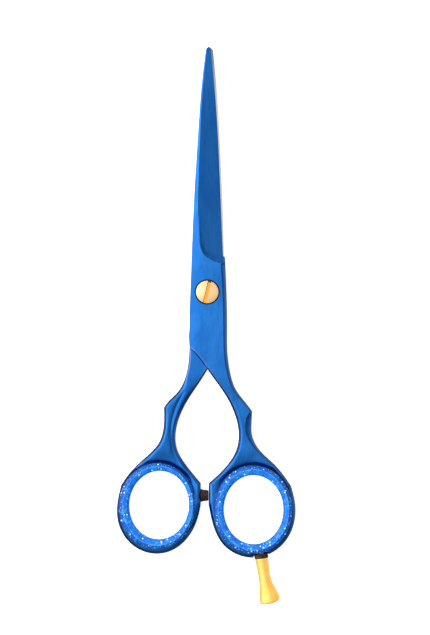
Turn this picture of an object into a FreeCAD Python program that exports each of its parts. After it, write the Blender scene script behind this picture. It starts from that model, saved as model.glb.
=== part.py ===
import FreeCAD, Part
import math
import os

# Hair cutting shears, closed, lying flat. Millimetres. +Y points to the blade tips, +Z up.
# The origin is on the pivot axis, on the surface that the shears lie on.

Vector = FreeCAD.Vector

# ---------------------------------------------------------------- driving dimensions

# Heights. The two halves meet on the ride plane.
RIDE_PLANE_Z = 3.1
RIDE_GAP = 0.05
RICASSO_THICKNESS = 2.6
SHANK_HALF_THICKNESS = 2.2
SHOULDER_GAP = 0.3
SHOULDER_SHIFT_SLOPE = -0.8
TIP_TOP_Z = 4.4
INNER_FACE_Z = RIDE_PLANE_Z + RIDE_GAP / 2
RICASSO_TOP_Z = INNER_FACE_Z + RICASSO_THICKNESS
RIM_CHAMFER = 0.5
FINGER_RIM_END_Y = 11.3
THUMB_RIM_END_Y = -24.9
# Larger than everything: a height above the top, and half the width and both ends of cutting blocks.
ABOVE_ALL_Z = 20.0
BLOCK_SIZE = 400.0
# Lengths closer than this count as equal.
SAME_PLACE = 1e-3
FAR_X = 60.0
FRONT_Y = 95.0
BACK_Y = -110.0

# Where the side view tapers: from the ricasso to the blade tip, and from the ricasso to the shank.
BLADE_END_Y = 80.0
BLADE_TAPER_Y = 16.0
SHANK_TAPER_START_Y = -27.0
SHANK_TAPER_END_Y = -33.0

# Blade grinding. The ground face ends at the ricasso on the plunge line, given from the ridge round to
# the heel; the thumb blade's is the mirror image. The spine bevel is a plane through three points, each
# an x for a spine at -X, a y and a depth under the ricasso. The hollow is a cone's surface, cut into
# the inner face.
EDGE_THICKNESS = 0.3
PLUNGE = ((-2.94, 24.5), (-2.5, 17.0), (-0.9, 11.9), (3.2, 9.4), (4.5, 10.0), (6.2, 11.4))
SPINE_BEVEL_PLANE = ((-2.95, 23.0, 0.1), (0.1, 79.0, 1.725), (-4.6, 23.0, 1.25))
HOLLOW_HEEL_RADIUS = 26.0
HOLLOW_TIP_RADIUS = 9.0
HOLLOW_LENGTH = 62.0
HOLLOW_DEPTH = 0.22
HOLLOW_START_Y = 14.0
HOLLOW_LEAN = 3.2

# Plan outline of the finger half, from the blade tip round by the spine.
BLADE_TIP = (0.55, 79.3)
FINGER_TIP_LEFT = (-0.48, 78.1)
FINGER_TIP_RIGHT = (1.07, 79.0)
FINGER_SPINE_END = (-5.72, -6.6)
FINGER_RIDE_CORNER = (-5.65, -18.0)
FINGER_DIAGONAL_MIDDLE = (-2.65, -21.25)
CROTCH = (0.1, -25.0)
FINGER_FLAT_TOP = (0.5, -61.9)
FINGER_FLAT_BOTTOM = (0.5, -68.9)
FINGER_RING_CORNER = (27.1, -62.7)
FINGER_SHANK_CORNER = (14.5, -38.5)
FINGER_HEEL = (5.75, 11.2)
FINGER_EDGE_START = (5.1, 11.7)

# Plan outline of the thumb half.
THUMB_TIP_RIGHT = (1.93, 78.1)
THUMB_TIP_LEFT = (0.2, 77.9)
THUMB_TIP = (1.15, 78.95)
THUMB_EDGE_START = (-4.4, 11.7)
THUMB_HEEL = (-5.05, 11.2)
THUMB_SHANK_CORNER = (-14.0, -37.4)
THUMB_RING_CORNER = (-27.8, -62.4)
THUMB_FLAT_BOTTOM = (-2.1, -68.9)
THUMB_FLAT_TOP = (-2.1, -61.8)
THUMB_RIDE_CORNER = (5.8, -18.0)
THUMB_DIAGONAL_MIDDLE = (2.8, -21.3)
THUMB_SPINE_START = (5.37, 12.1)

# Finger holes: centre, half width, half height, and lean of the long axis in degrees.
FINGER_HOLE = (15.0, -70.4, 9.62, 11.2, 1.0)
THUMB_HOLE = (-15.56, -68.9, 9.64, 11.1, -4.0)
FINGER_LIP = (14.9, -70.3, 12.6, 14.3, 1.0)
THUMB_LIP = (-16.2, -69.1, 12.4, 13.9, -4.0)
INSERT_WALL = 1.5
LIP_THICKNESS = 0.9
LIP_CHAMFER = 0.45

# Pivot.
SHAFT_RADIUS = 2.4
THREAD_RADIUS = 2.1
THREAD_CHAMFER = 0.2
RUNNING_CLEARANCE = 0.05
SCREW_HEAD_RADIUS = 3.6
SCREW_HEAD_HEIGHT = 1.1
SCREW_HEAD_CHAMFER = 0.35
SCREW_SLOT_WIDTH = 1.1
SCREW_SLOT_DEPTH = 0.65
SCREW_SLOT_ANGLE = 13.5
WASHER_RADIUS = 3.85
WASHER_THICKNESS = 0.4
COUNTERBORE_DEPTH = 0.5
COUNTERBORE_RADIUS = 3.95

# Bumper between the rings.
BUMPER_Y = -65.8
BUMPER_BASE_RADIUS = 2.1
BUMPER_END_RADIUS = 1.7
BUMPER_TO_RING = 0.08
BUMPER_STEM_RADIUS = 0.9
BUMPER_STEM_LENGTH = 1.7
BUMPER_ROUNDING = 0.45

# Finger rest, on its own axis, which leans away from the thumb side.
REST_LEAN = 8.0
REST_SEAT = (17.4, -84.75)
REST_WASHER_RADIUS = 2.25
REST_WASHER_THICKNESS = 1.4
REST_STEM_RADIUS = 1.2
REST_STEM_LENGTH = 1.5
REST_HOLE_DEPTH = 6.0
REST_SEAT_RADIUS = 2.4
REST_SEAT_CLEARANCE = 8.0
# Distance along the axis from the washer, half width, half thickness, and sideways shift.
REST_SECTIONS = (
    (0.0, 2.1, 2.1, 0.0),
    (2.2, 2.02, 2.02, 0.02),
    (4.8, 1.93, 1.9, 0.05),
    (7.6, 2.08, 1.95, 0.16),
    (10.0, 2.6, 2.1, 0.45),
    (12.6, 3.2, 2.35, 0.75),
)
# The slanted end plane crosses the axis at REST_LENGTH; the blank is longer by REST_CUT_OFF.
REST_LENGTH = 14.8
REST_CUT_OFF = 3.0
REST_END_SLANT = 4.0
REST_END_ROUNDING = 0.7


# ---------------------------------------------------------------- outlines in plan


def flat_point(point):
    return Vector(point[0], point[1], 0)


def stretch_edge(points):
    """One edge: straight through two points, a smooth curve through more."""
    vectors = [flat_point(p) for p in points]
    if len(vectors) == 2:
        return Part.LineSegment(vectors[0], vectors[1]).toShape()
    curve = Part.BSplineCurve()
    curve.interpolate(vectors)
    return curve.toShape()


def outline_face(stretches):
    """A plan face from stretches that follow each other and close."""
    return Part.Face(Part.Wire([stretch_edge(points) for points in stretches]))


def finger_shank_stretches():
    """The shank and ring, from the crotch down the inner side and back up the outer side."""
    inner = [CROTCH, (2.81, -28.8), (6.28, -34.0), (8.73, -39.1), (10.06, -44.3), (9.5, -50.8),
             (6.54, -55.9), FINGER_FLAT_TOP]
    flat = [FINGER_FLAT_TOP, FINGER_FLAT_BOTTOM]
    ring = [FINGER_FLAT_BOTTOM, (1.55, -74.1), (5.4, -81.9), (12.1, -85.6), (18.5, -85.3),
            (25.4, -80.4), (28.43, -72.7), (28.3, -67.6), FINGER_RING_CORNER]
    web = [FINGER_RING_CORNER, (21.88, -55.9), (16.69, -50.8), (14.39, -45.6), (14.38, -41.7),
           FINGER_SHANK_CORNER]
    return [inner, flat, ring, web]


def finger_own_face():
    """Everything of the finger half that lies above the ride plane."""
    tip = [FINGER_TIP_RIGHT, BLADE_TIP, (-0.1, 78.9), FINGER_TIP_LEFT]
    spine = [FINGER_TIP_LEFT, (-1.65, 68.4), (-2.85, 52.9), (-3.85, 37.4), (-4.64, 21.8), (-5.21, 6.3),
             FINGER_SPINE_END]
    notch = [FINGER_SPINE_END, (-5.56, -9.2), (-5.93, -14.4), FINGER_RIDE_CORNER]
    diagonal = [FINGER_RIDE_CORNER, FINGER_DIAGONAL_MIDDLE, CROTCH]
    outer = [FINGER_SHANK_CORNER, (13.1, -36.6), (9.2, -31.4), (7.46, -26.2), (6.5, -19.0),
             (6.43, -12.0), (5.98, 6.3), FINGER_HEEL]
    heel = [FINGER_HEEL, FINGER_EDGE_START]
    edge = [FINGER_EDGE_START, (4.46, 26.5), (3.14, 55.6), (1.9, 71.0), FINGER_TIP_RIGHT]
    return outline_face([tip, spine, notch, diagonal] + finger_shank_stretches() + [outer, heel, edge])


def thumb_shank_stretches():
    """The thumb shank and ring, down the outer side and back up the inner side to the crotch."""
    web = [THUMB_SHANK_CORNER, (-14.04, -43.0), (-15.33, -48.2), (-19.87, -53.4), (-25.07, -58.5),
           THUMB_RING_CORNER]
    ring = [THUMB_RING_CORNER, (-28.96, -67.6), (-28.9, -73.9), (-25.54, -80.5), (-19.0, -84.3),
            (-11.8, -83.7), (-5.23, -77.9), (-2.93, -72.7), THUMB_FLAT_BOTTOM]
    flat = [THUMB_FLAT_BOTTOM, THUMB_FLAT_TOP]
    inner = [THUMB_FLAT_TOP, (-6.86, -55.9), (-9.73, -50.8), (-10.0, -44.3), (-8.41, -39.1),
             (-5.68, -34.0), (-2.23, -28.8), CROTCH]
    return [web, ring, flat, inner]


def thumb_own_face():
    """Everything of the thumb half that lies below the ride plane."""
    tip = [THUMB_TIP_RIGHT, THUMB_TIP, (0.5, 78.7), THUMB_TIP_LEFT]
    edge = [THUMB_TIP_LEFT, (-2.0, 55.6), (-3.6, 26.5), THUMB_EDGE_START]
    heel = [THUMB_EDGE_START, THUMB_HEEL]
    outer = [THUMB_HEEL, (-5.3, 3.0), (-5.75, -12.0), (-5.97, -22.2), (-6.98, -27.3), (-9.68, -32.5),
             (-13.0, -35.9), THUMB_SHANK_CORNER]
    diagonal = [CROTCH, THUMB_DIAGONAL_MIDDLE, THUMB_RIDE_CORNER]
    ricasso = [THUMB_RIDE_CORNER, (5.5, -9.0), (5.2, 2.0), THUMB_SPINE_START]
    spine = [THUMB_SPINE_START, (4.92, 27.7), (4.28, 43.1), (3.52, 58.6), THUMB_TIP_RIGHT]
    return outline_face([tip, edge, heel, outer] + thumb_shank_stretches() + [diagonal, ricasso, spine])


def ellipse_face(ellipse, grow=0.0):
    """A plan face of an ellipse given as centre, half width, half height and lean."""
    x, y, half_width, half_height, lean = ellipse
    curve = Part.Ellipse(Vector(0, 0, 0), half_height + grow, half_width + grow)
    face = Part.Face(Part.Wire(curve.toShape()))
    face.rotate(Vector(0, 0, 0), Vector(0, 0, 1), 90 + lean)
    face.translate(Vector(x, y, 0))
    return face


def prism(face, low_z, high_z):
    """A plan face, lifted to low_z and extruded up to high_z."""
    lifted = face.copy()
    lifted.translate(Vector(0, 0, low_z))
    return lifted.extrude(Vector(0, 0, high_z - low_z))


def cylinder(radius, low_z, high_z):
    return Part.makeCylinder(radius, high_z - low_z, Vector(0, 0, low_z))


def ring_solid(outer_radius, inner_radius, low_z, high_z):
    return cylinder(outer_radius, low_z, high_z).cut(cylinder(inner_radius, low_z, high_z))


def block_above(first, second, third):
    """A large block whose lower face passes through three points."""
    a, b, c = (Vector(*p) for p in (first, second, third))
    normal = (b - a).cross(c - a).normalize()
    if normal.z < 0:
        normal = normal * -1
    block = Part.makeBox(BLOCK_SIZE, BLOCK_SIZE, BLOCK_SIZE, Vector(-BLOCK_SIZE / 2, -BLOCK_SIZE / 2, 0))
    block.Placement = FreeCAD.Placement(a, FreeCAD.Rotation(Vector(0, 0, 1), normal))
    return block


# ---------------------------------------------------------------- the two halves


def side_profile():
    """What both halves keep, seen from the side: full at the ride, thinner shanks, tapered blades.

    It is symmetric about the ride plane."""
    ricasso_half = RICASSO_TOP_Z - RIDE_PLANE_Z
    tip_half = TIP_TOP_Z - RIDE_PLANE_Z
    upper = [(BLADE_END_Y, tip_half), (BLADE_TAPER_Y, ricasso_half), (SHANK_TAPER_START_Y, ricasso_half),
             (SHANK_TAPER_END_Y, SHANK_HALF_THICKNESS), (BACK_Y, SHANK_HALF_THICKNESS)]
    lower = [(y, -half) for y, half in reversed(upper)]
    points = [Vector(-FAR_X, y, RIDE_PLANE_Z + half) for y, half in upper + lower]
    return Part.Face(Part.makePolygon(points + points[:1])).extrude(Vector(2 * FAR_X, 0, 0))


def shoulder_region(other_diagonal, side):
    """Plan region beyond the other half's diagonal edge, a shoulder gap away from it.

    side is +1 for the finger half's shank and -1 for the thumb half's."""
    shift = Vector(side, SHOULDER_SHIFT_SLOPE, 0).normalize() * SHOULDER_GAP
    shoulder = [(x + shift.x, y + shift.y) for x, y in other_diagonal]
    behind = [(shoulder[-1][0], BACK_Y), (side * FAR_X, BACK_Y), (side * FAR_X, shoulder[0][1])]
    vectors = [flat_point(p) for p in shoulder + behind]
    return Part.Face(Part.makePolygon(vectors + vectors[:1]))


def flip_over_ride_plane(shape):
    return shape.mirror(Vector(0, 0, RIDE_PLANE_Z), Vector(0, 0, 1))


def blade_grind(plunge, side, edge_heel, edge_tip):
    """What grinding removes above a blade that faces up, to leave its sloping main face.

    plunge is the curve where the ground face ends at the ricasso; side is +1 where the cutting edge
    is at +X. The face slopes from the ridge near the spine down to the cutting edge."""
    corners = [plunge[-1], (side * FAR_X, plunge[-1][1]), (side * FAR_X, FRONT_Y),
               (-side * FAR_X, FRONT_Y), (-side * FAR_X, plunge[0][1]), plunge[0]]
    stretches = [plunge] + [[start, end] for start, end in zip(corners, corners[1:])]
    zone = prism(outline_face(stretches), RIDE_PLANE_Z, ABOVE_ALL_Z)
    edge_z = RIDE_PLANE_Z + EDGE_THICKNESS
    ridge = (plunge[0][0], plunge[0][1], RICASSO_TOP_Z)
    return zone.common(block_above((*edge_heel, edge_z), (*edge_tip, edge_z), ridge))


def spine_bevel(side):
    """What the bevel along the spine removes, fading out on the ride area; side is +1 for a spine at -X."""
    plane = block_above(*((side * x, y, RICASSO_TOP_Z - depth) for x, y, depth in SPINE_BEVEL_PLANE))
    ahead = Part.makeBox(2 * FAR_X, FRONT_Y - FINGER_SPINE_END[1], ABOVE_ALL_Z,
                         Vector(-FAR_X, FINGER_SPINE_END[1], 0))
    return plane.common(ahead)


def inner_hollow(side):
    """The hollow ground into a blade's inner face, a shallow cone cut that narrows towards the tip."""
    cone = Part.makeCone(HOLLOW_HEEL_RADIUS, HOLLOW_TIP_RADIUS, HOLLOW_LENGTH,
                         Vector(0, 0, -HOLLOW_HEEL_RADIUS), Vector(0, 1, 0))
    slope = math.degrees(math.atan((HOLLOW_HEEL_RADIUS - HOLLOW_TIP_RADIUS) / HOLLOW_LENGTH))
    cone.rotate(Vector(0, 0, 0), Vector(1, 0, 0), slope)
    cone.rotate(Vector(0, 0, 0), Vector(0, 0, 1), side * HOLLOW_LEAN)
    cone.translate(Vector(0, HOLLOW_START_Y, INNER_FACE_Z + HOLLOW_DEPTH))
    return cone


def rim_edges(shape, end_y):
    """Edges round the top and the underside of a half, behind a distance along the shears."""
    def lies_flat(face):
        low_u, high_u, low_v, high_v = face.ParameterRange
        return abs(face.normalAt((low_u + high_u) / 2, (low_v + high_v) / 2).z) > 0.5

    found = []
    for edge in shape.Edges:
        sides = [lies_flat(face) for face in shape.ancestorsOfType(edge, Part.Face)]
        if sides.count(True) == 1 and edge.BoundBox.YMax < end_y:
            found.append(edge)
    return found


def outside_shoulder(other_diagonal, side):
    """Everything below the ride plane that belongs to the other half."""
    below = Part.makeBox(2 * FAR_X, FRONT_Y - BACK_Y, ABOVE_ALL_Z + INNER_FACE_Z,
                         Vector(-FAR_X, BACK_Y, -ABOVE_ALL_Z))
    return below.cut(prism(shoulder_region(other_diagonal, side), -2 * ABOVE_ALL_Z, ABOVE_ALL_Z))


def forged_half(own_face, other_diagonal, side, plunge, edge_ends, hole, rim_end_y):
    """One half with its blade facing up; side is +1 where the cutting edge and the shank are at +X."""
    half = prism(own_face, -ABOVE_ALL_Z, ABOVE_ALL_Z).common(side_profile())
    half = half.makeChamfer(RIM_CHAMFER, rim_edges(half, rim_end_y))
    half = half.cut(outside_shoulder(other_diagonal, side))
    half = half.cut([blade_grind(plunge, side, *edge_ends), spine_bevel(side), inner_hollow(side)])
    return half.cut(prism(ellipse_face(hole, INSERT_WALL), -1, ABOVE_ALL_Z))


def finger_blade():
    thumb_diagonal = [THUMB_RIDE_CORNER, THUMB_DIAGONAL_MIDDLE, CROTCH]
    half = forged_half(finger_own_face(), thumb_diagonal, 1, list(PLUNGE),
                       (FINGER_EDGE_START, FINGER_TIP_RIGHT), FINGER_HOLE, FINGER_RIM_END_Y)
    return half.cut([
        cylinder(SHAFT_RADIUS + RUNNING_CLEARANCE, 0, ABOVE_ALL_Z),
        cylinder(COUNTERBORE_RADIUS, RICASSO_TOP_Z - COUNTERBORE_DEPTH, ABOVE_ALL_Z),
        rest_axis_cylinder(REST_STEM_RADIUS + RUNNING_CLEARANCE, -REST_HOLE_DEPTH, 0.0),
        rest_axis_cylinder(REST_SEAT_RADIUS, 0.0, REST_SEAT_CLEARANCE),
    ])


def thumb_blade():
    finger_diagonal = [FINGER_RIDE_CORNER, FINGER_DIAGONAL_MIDDLE, CROTCH]
    half = forged_half(thumb_own_face(), finger_diagonal, -1, [(-x, y) for x, y in PLUNGE],
                       (THUMB_EDGE_START, THUMB_TIP_LEFT), THUMB_HOLE, THUMB_RIM_END_Y)
    stem_start = Vector(THUMB_FLAT_TOP[0] - BUMPER_STEM_LENGTH, BUMPER_Y, RIDE_PLANE_Z)
    half = half.cut([
        cylinder(THREAD_RADIUS + RUNNING_CLEARANCE, 0, ABOVE_ALL_Z),
        Part.makeCylinder(BUMPER_STEM_RADIUS, 2 * BUMPER_STEM_LENGTH, stem_start, Vector(1, 0, 0)),
    ])
    return flip_over_ride_plane(half)


# ---------------------------------------------------------------- small pieces


def edges_on_level(shape, level):
    """Edges that lie flat at a height."""
    def on_level(edge):
        return max(abs(edge.BoundBox.ZMin - level), abs(edge.BoundBox.ZMax - level)) < SAME_PLACE

    return [edge for edge in shape.Edges if on_level(edge)]


def pivot_screw():
    """Slotted head, plain shaft through the finger half, threaded end in the thumb half."""
    washer_top = RICASSO_TOP_Z - COUNTERBORE_DEPTH + WASHER_THICKNESS
    head_top = washer_top + SCREW_HEAD_HEIGHT
    head = cylinder(SCREW_HEAD_RADIUS, washer_top, head_top)
    head = head.makeChamfer(SCREW_HEAD_CHAMFER, edges_on_level(head, head_top))
    shaft = cylinder(SHAFT_RADIUS, INNER_FACE_Z, washer_top)
    thread = cylinder(THREAD_RADIUS, 0, INNER_FACE_Z)
    thread = thread.makeChamfer(THREAD_CHAMFER, edges_on_level(thread, 0))
    slot = Part.makeBox(SCREW_SLOT_WIDTH, 4 * SCREW_HEAD_RADIUS, SCREW_HEAD_HEIGHT,
                        Vector(-SCREW_SLOT_WIDTH / 2, -2 * SCREW_HEAD_RADIUS, head_top - SCREW_SLOT_DEPTH))
    slot.rotate(Vector(0, 0, 0), Vector(0, 0, 1), -SCREW_SLOT_ANGLE)
    return head.fuse([shaft, thread]).cut(slot)


def screw_washer():
    low = RICASSO_TOP_Z - COUNTERBORE_DEPTH
    return ring_solid(WASHER_RADIUS, SHAFT_RADIUS + RUNNING_CLEARANCE, low, low + WASHER_THICKNESS)


def insert(hole, lip):
    """A channel that grips the steel ring: a wall inside it and a lip on each side."""
    steel_low = RIDE_PLANE_Z - SHANK_HALF_THICKNESS
    steel_high = RIDE_PLANE_Z + SHANK_HALF_THICKNESS
    bottom = steel_low - LIP_THICKNESS
    top = steel_high + LIP_THICKNESS
    wall = prism(ellipse_face(hole, INSERT_WALL), bottom, top)
    upper = prism(ellipse_face(lip), steel_high, top)
    lower = prism(ellipse_face(lip), bottom, steel_low)
    upper = upper.makeChamfer(LIP_CHAMFER, edges_on_level(upper, top))
    lower = lower.makeChamfer(LIP_CHAMFER, edges_on_level(lower, bottom))
    return wall.fuse([upper, lower]).cut(prism(ellipse_face(hole), bottom - 1, top + 1))


def bumper():
    """A rounded rubber stop with a push-in stem, on an axis across the rings."""
    base_x = THUMB_FLAT_TOP[0]
    end_x = FINGER_FLAT_TOP[0] - BUMPER_TO_RING
    start = Vector(base_x, BUMPER_Y, RIDE_PLANE_Z)
    head = Part.makeCone(BUMPER_BASE_RADIUS, BUMPER_END_RADIUS, end_x - base_x, start, Vector(1, 0, 0))
    end_edges = [e for e in head.Edges if abs(e.BoundBox.XMin - end_x) < SAME_PLACE]
    head = head.makeFillet(BUMPER_ROUNDING, end_edges)
    stem = Part.makeCylinder(BUMPER_STEM_RADIUS, BUMPER_STEM_LENGTH,
                             start - Vector(BUMPER_STEM_LENGTH, 0, 0), Vector(1, 0, 0))
    return head.fuse(stem)


# ---------------------------------------------------------------- finger rest


def rest_placement():
    """Local +Z runs along the finger rest, away from the ring, and local +X to its wide side."""
    lean = math.radians(REST_LEAN)
    along = Vector(math.sin(lean), -math.cos(lean), 0)
    wide = Vector(math.cos(lean), math.sin(lean), 0)
    rotation = FreeCAD.Rotation(wide, along.cross(wide), along, "ZXY")
    return FreeCAD.Placement(Vector(REST_SEAT[0], REST_SEAT[1], RIDE_PLANE_Z), rotation)


def on_rest_axis(shape):
    placed = shape.copy()
    placed.Placement = rest_placement().multiply(placed.Placement)
    return placed


def rest_axis_cylinder(radius, start, end):
    return on_rest_axis(Part.makeCylinder(radius, end - start, Vector(0, 0, start)))


def finger_rest_washer():
    outer = rest_axis_cylinder(REST_WASHER_RADIUS, 0, REST_WASHER_THICKNESS)
    return outer.cut(rest_axis_cylinder(REST_STEM_RADIUS + RUNNING_CLEARANCE, 0, REST_WASHER_THICKNESS))


def section_wire(distance, half_width, half_thickness, shift):
    large = max(half_width, half_thickness + SAME_PLACE)
    curve = Part.Ellipse(Vector(shift, 0, distance), large, half_thickness)
    return Part.Wire(curve.toShape())


def finger_rest():
    """A waisted trumpet, wider on the outer side, with a rounded end and its threaded stem."""
    wires = [section_wire(REST_WASHER_THICKNESS + d, w, t, s) for d, w, t, s in REST_SECTIONS]
    _, half_width, half_thickness, shift = REST_SECTIONS[-1]
    blank_end = REST_WASHER_THICKNESS + REST_LENGTH + REST_CUT_OFF
    wires.append(section_wire(blank_end, half_width, half_thickness, shift))
    body = Part.makeLoft(wires, True, False)
    end_cut = Part.makeBox(2 * FAR_X, 2 * FAR_X, ABOVE_ALL_Z, Vector(-FAR_X, -FAR_X, 0))
    end_cut.rotate(Vector(0, 0, 0), Vector(0, 1, 0), REST_END_SLANT)
    end_cut.translate(Vector(0, 0, REST_WASHER_THICKNESS + REST_LENGTH))
    body = body.cut(end_cut)
    end_face = max(body.Faces, key=lambda face: face.CenterOfMass.z)
    body = body.makeFillet(REST_END_ROUNDING, end_face.Edges)
    stem = Part.makeCylinder(REST_STEM_RADIUS, REST_STEM_LENGTH + REST_WASHER_THICKNESS,
                             Vector(0, 0, -REST_STEM_LENGTH))
    return on_rest_axis(body.fuse(stem))


# ---------------------------------------------------------------- write the parts

os.makedirs("parts", exist_ok=True)
PARTS = {
    "finger_blade": finger_blade(),
    "thumb_blade": thumb_blade(),
    "pivot_screw": pivot_screw(),
    "screw_washer": screw_washer(),
    "finger_insert": insert(FINGER_HOLE, FINGER_LIP),
    "thumb_insert": insert(THUMB_HOLE, THUMB_LIP),
    "bumper": bumper(),
    "finger_rest": finger_rest(),
    "finger_rest_washer": finger_rest_washer(),
}
for node, shape in PARTS.items():
    shape.exportStep("parts/" + node + ".step")
    print(node, "valid", shape.isValid(), "solids", len(shape.Solids), "volume", round(shape.Volume, 1))
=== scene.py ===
import math

import bmesh
import bpy
import numpy as np
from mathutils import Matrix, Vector
from mathutils.geometry import delaunay_2d_cdt


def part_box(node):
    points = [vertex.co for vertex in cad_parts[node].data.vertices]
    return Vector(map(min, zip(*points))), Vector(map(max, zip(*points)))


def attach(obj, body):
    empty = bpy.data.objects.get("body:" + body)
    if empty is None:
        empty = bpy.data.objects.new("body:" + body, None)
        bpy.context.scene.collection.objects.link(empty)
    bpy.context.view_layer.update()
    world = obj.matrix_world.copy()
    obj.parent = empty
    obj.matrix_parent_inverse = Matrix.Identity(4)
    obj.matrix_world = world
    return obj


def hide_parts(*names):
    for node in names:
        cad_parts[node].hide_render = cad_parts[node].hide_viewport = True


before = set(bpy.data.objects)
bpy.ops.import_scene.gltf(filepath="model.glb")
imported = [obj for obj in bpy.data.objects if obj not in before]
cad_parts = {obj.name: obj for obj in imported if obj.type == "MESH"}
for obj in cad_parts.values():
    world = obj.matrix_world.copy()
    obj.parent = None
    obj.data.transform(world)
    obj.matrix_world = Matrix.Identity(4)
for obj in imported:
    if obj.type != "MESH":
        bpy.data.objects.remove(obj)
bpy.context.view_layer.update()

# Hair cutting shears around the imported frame. Shapes are worked out in millimetres in the frame's
# own axes (+Y to the blade tips, +Z up) and written to meshes in metres.
MM = 0.001
# Added to a divisor that may be zero.
TINY = 1e-9

# ---- heights and pivot holes, from the frame


def box_mm(node):
    """The lowest and the highest corner of a node, in millimetres."""
    low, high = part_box(node)
    return np.array(low) / MM, np.array(high) / MM


FINGER_HIGH = box_mm("finger_blade")[1]
INSERT_LOW, INSERT_HIGH = box_mm("finger_insert")
SCREW_HIGH = box_mm("pivot_screw")[1]
WASHER_LOW, WASHER_HIGH = box_mm("screw_washer")
BUMPER_LOW, BUMPER_HIGH = box_mm("bumper")

# The ride plane, in which the halves slide on each other, and heights above it.
RIDE_Z = (INSERT_LOW[2] + INSERT_HIGH[2]) / 2
RICASSO_H = FINGER_HIGH[2] - RIDE_Z
INNER_H = 0.025
SHANK_H = 2.2
COUNTERBORE_H = WASHER_LOW[2] - RIDE_Z
# Radii of the pivot's holes, and the gap that the screw leaves in them.
SHAFT_HOLE_RADIUS = 2.45
THREAD_HOLE_RADIUS = 2.15
COUNTERBORE_RADIUS = 3.95
HOLE_GAP = 0.05

# ---- outlines, as in the design

# Each stretch starts where the one before it ends. The halves share the crotch.
CROTCH = (0.1, -25.0)
FINGER_OUTLINE = {
    "tip": [(0.55, 79.3), (-0.1, 78.9), (-0.48, 78.1)],
    "spine": [(-1.65, 68.4), (-2.85, 52.9), (-3.85, 37.4), (-4.64, 21.8), (-5.21, 6.3), (-5.72, -6.6)],
    "notch": [(-5.56, -9.2), (-5.93, -14.4), (-5.65, -18.0)],
    "diagonal": [(-2.65, -21.25), CROTCH],
    "inner": [(2.81, -28.8), (6.28, -34.0), (8.73, -39.1), (10.06, -44.3), (9.5, -50.8), (6.54, -55.9),
              (0.5, -61.9)],
    "flat": [(0.5, -68.9)],
    "ring": [(1.55, -74.1), (5.4, -81.9), (12.1, -85.6), (18.5, -85.3), (25.4, -80.4), (28.43, -72.7),
             (28.3, -67.6), (27.1, -62.7)],
    "web": [(21.88, -55.9), (16.69, -50.8), (14.39, -45.6), (14.38, -41.7), (14.5, -38.5)],
    "outer": [(13.1, -36.6), (9.2, -31.4), (7.46, -26.2), (6.5, -19.0), (6.43, -12.0), (5.98, 6.3),
              (5.75, 11.2)],
    "heel": [(5.1, 11.7)],
    "edge": [(4.46, 26.5), (3.14, 55.6), (1.9, 71.0), (1.07, 79.0)],
}
THUMB_OUTLINE = {
    "tip": [(1.15, 78.95), (0.5, 78.7), (0.2, 77.9)],
    "edge": [(-2.0, 55.6), (-3.6, 26.5), (-4.4, 11.7)],
    "heel": [(-5.05, 11.2)],
    "outer": [(-5.3, 3.0), (-5.75, -12.0), (-5.97, -22.2), (-6.98, -27.3), (-9.68, -32.5), (-13.0, -35.9),
              (-14.0, -37.4)],
    "web": [(-14.04, -43.0), (-15.33, -48.2), (-19.87, -53.4), (-25.07, -58.5), (-27.8, -62.4)],
    "ring": [(-28.96, -67.6), (-28.9, -73.9), (-25.54, -80.5), (-19.0, -84.3), (-11.8, -83.7),
             (-5.23, -77.9), (-2.93, -72.7), (-2.1, -68.9)],
    "flat": [(-2.1, -61.8)],
    "inner": [(-6.86, -55.9), (-9.73, -50.8), (-10.0, -44.3), (-8.41, -39.1), (-5.68, -34.0),
              (-2.23, -28.8), CROTCH],
    "diagonal": [(2.8, -21.3), (5.8, -18.0)],
    "ricasso": [(5.5, -9.0), (5.2, 2.0), (5.37, 12.1)],
    "spine": [(4.92, 27.7), (4.28, 43.1), (3.52, 58.6), (1.93, 78.1)],
}
# Finger holes and the outer edge of each insert's lip: centre, half width, half height, lean.
FINGER_HOLE = (15.0, -70.4, 9.62, 11.2, 1.0)
THUMB_HOLE = (-15.56, -68.9, 9.64, 11.1, -4.0)
FINGER_LIP = (14.9, -70.3, 12.6, 14.3, 1.0)
THUMB_LIP = (-16.2, -69.1, 12.4, 13.9, -4.0)
INSERT_WALL = 1.5


# ---- plane curves


def smooth_curve(points, spacing):
    """Evenly spaced points on the natural cubic spline through the given ones."""
    given = np.array(points, float)
    steps = np.linalg.norm(np.diff(given, axis=0), axis=1)
    knots = np.concatenate([[0.0], np.cumsum(steps)])
    count = max(1, int(round(knots[-1] / spacing)))
    if len(given) == 2:
        return given[0] + np.linspace(0, 1, count + 1)[:, None] * (given[1] - given[0])
    size = len(given)
    matrix = np.eye(size)
    right = np.zeros((size, 2))
    for i in range(1, size - 1):
        before, after = steps[i - 1], steps[i]
        matrix[i, i - 1:i + 2] = before, 2 * (before + after), after
        right[i] = 6 * ((given[i + 1] - given[i]) / after - (given[i] - given[i - 1]) / before)
    bend = np.linalg.solve(matrix, right)
    at = np.linspace(0, knots[-1], count + 1)
    span = np.clip(np.searchsorted(knots, at, side="right") - 1, 0, size - 2)
    length = steps[span][:, None]
    a = ((knots[span + 1] - at)[:, None]) / length
    b = 1 - a
    curve = a * given[span] + b * given[span + 1]
    return curve + ((a ** 3 - a) * bend[span] + (b ** 3 - b) * bend[span + 1]) * length ** 2 / 6


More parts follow.
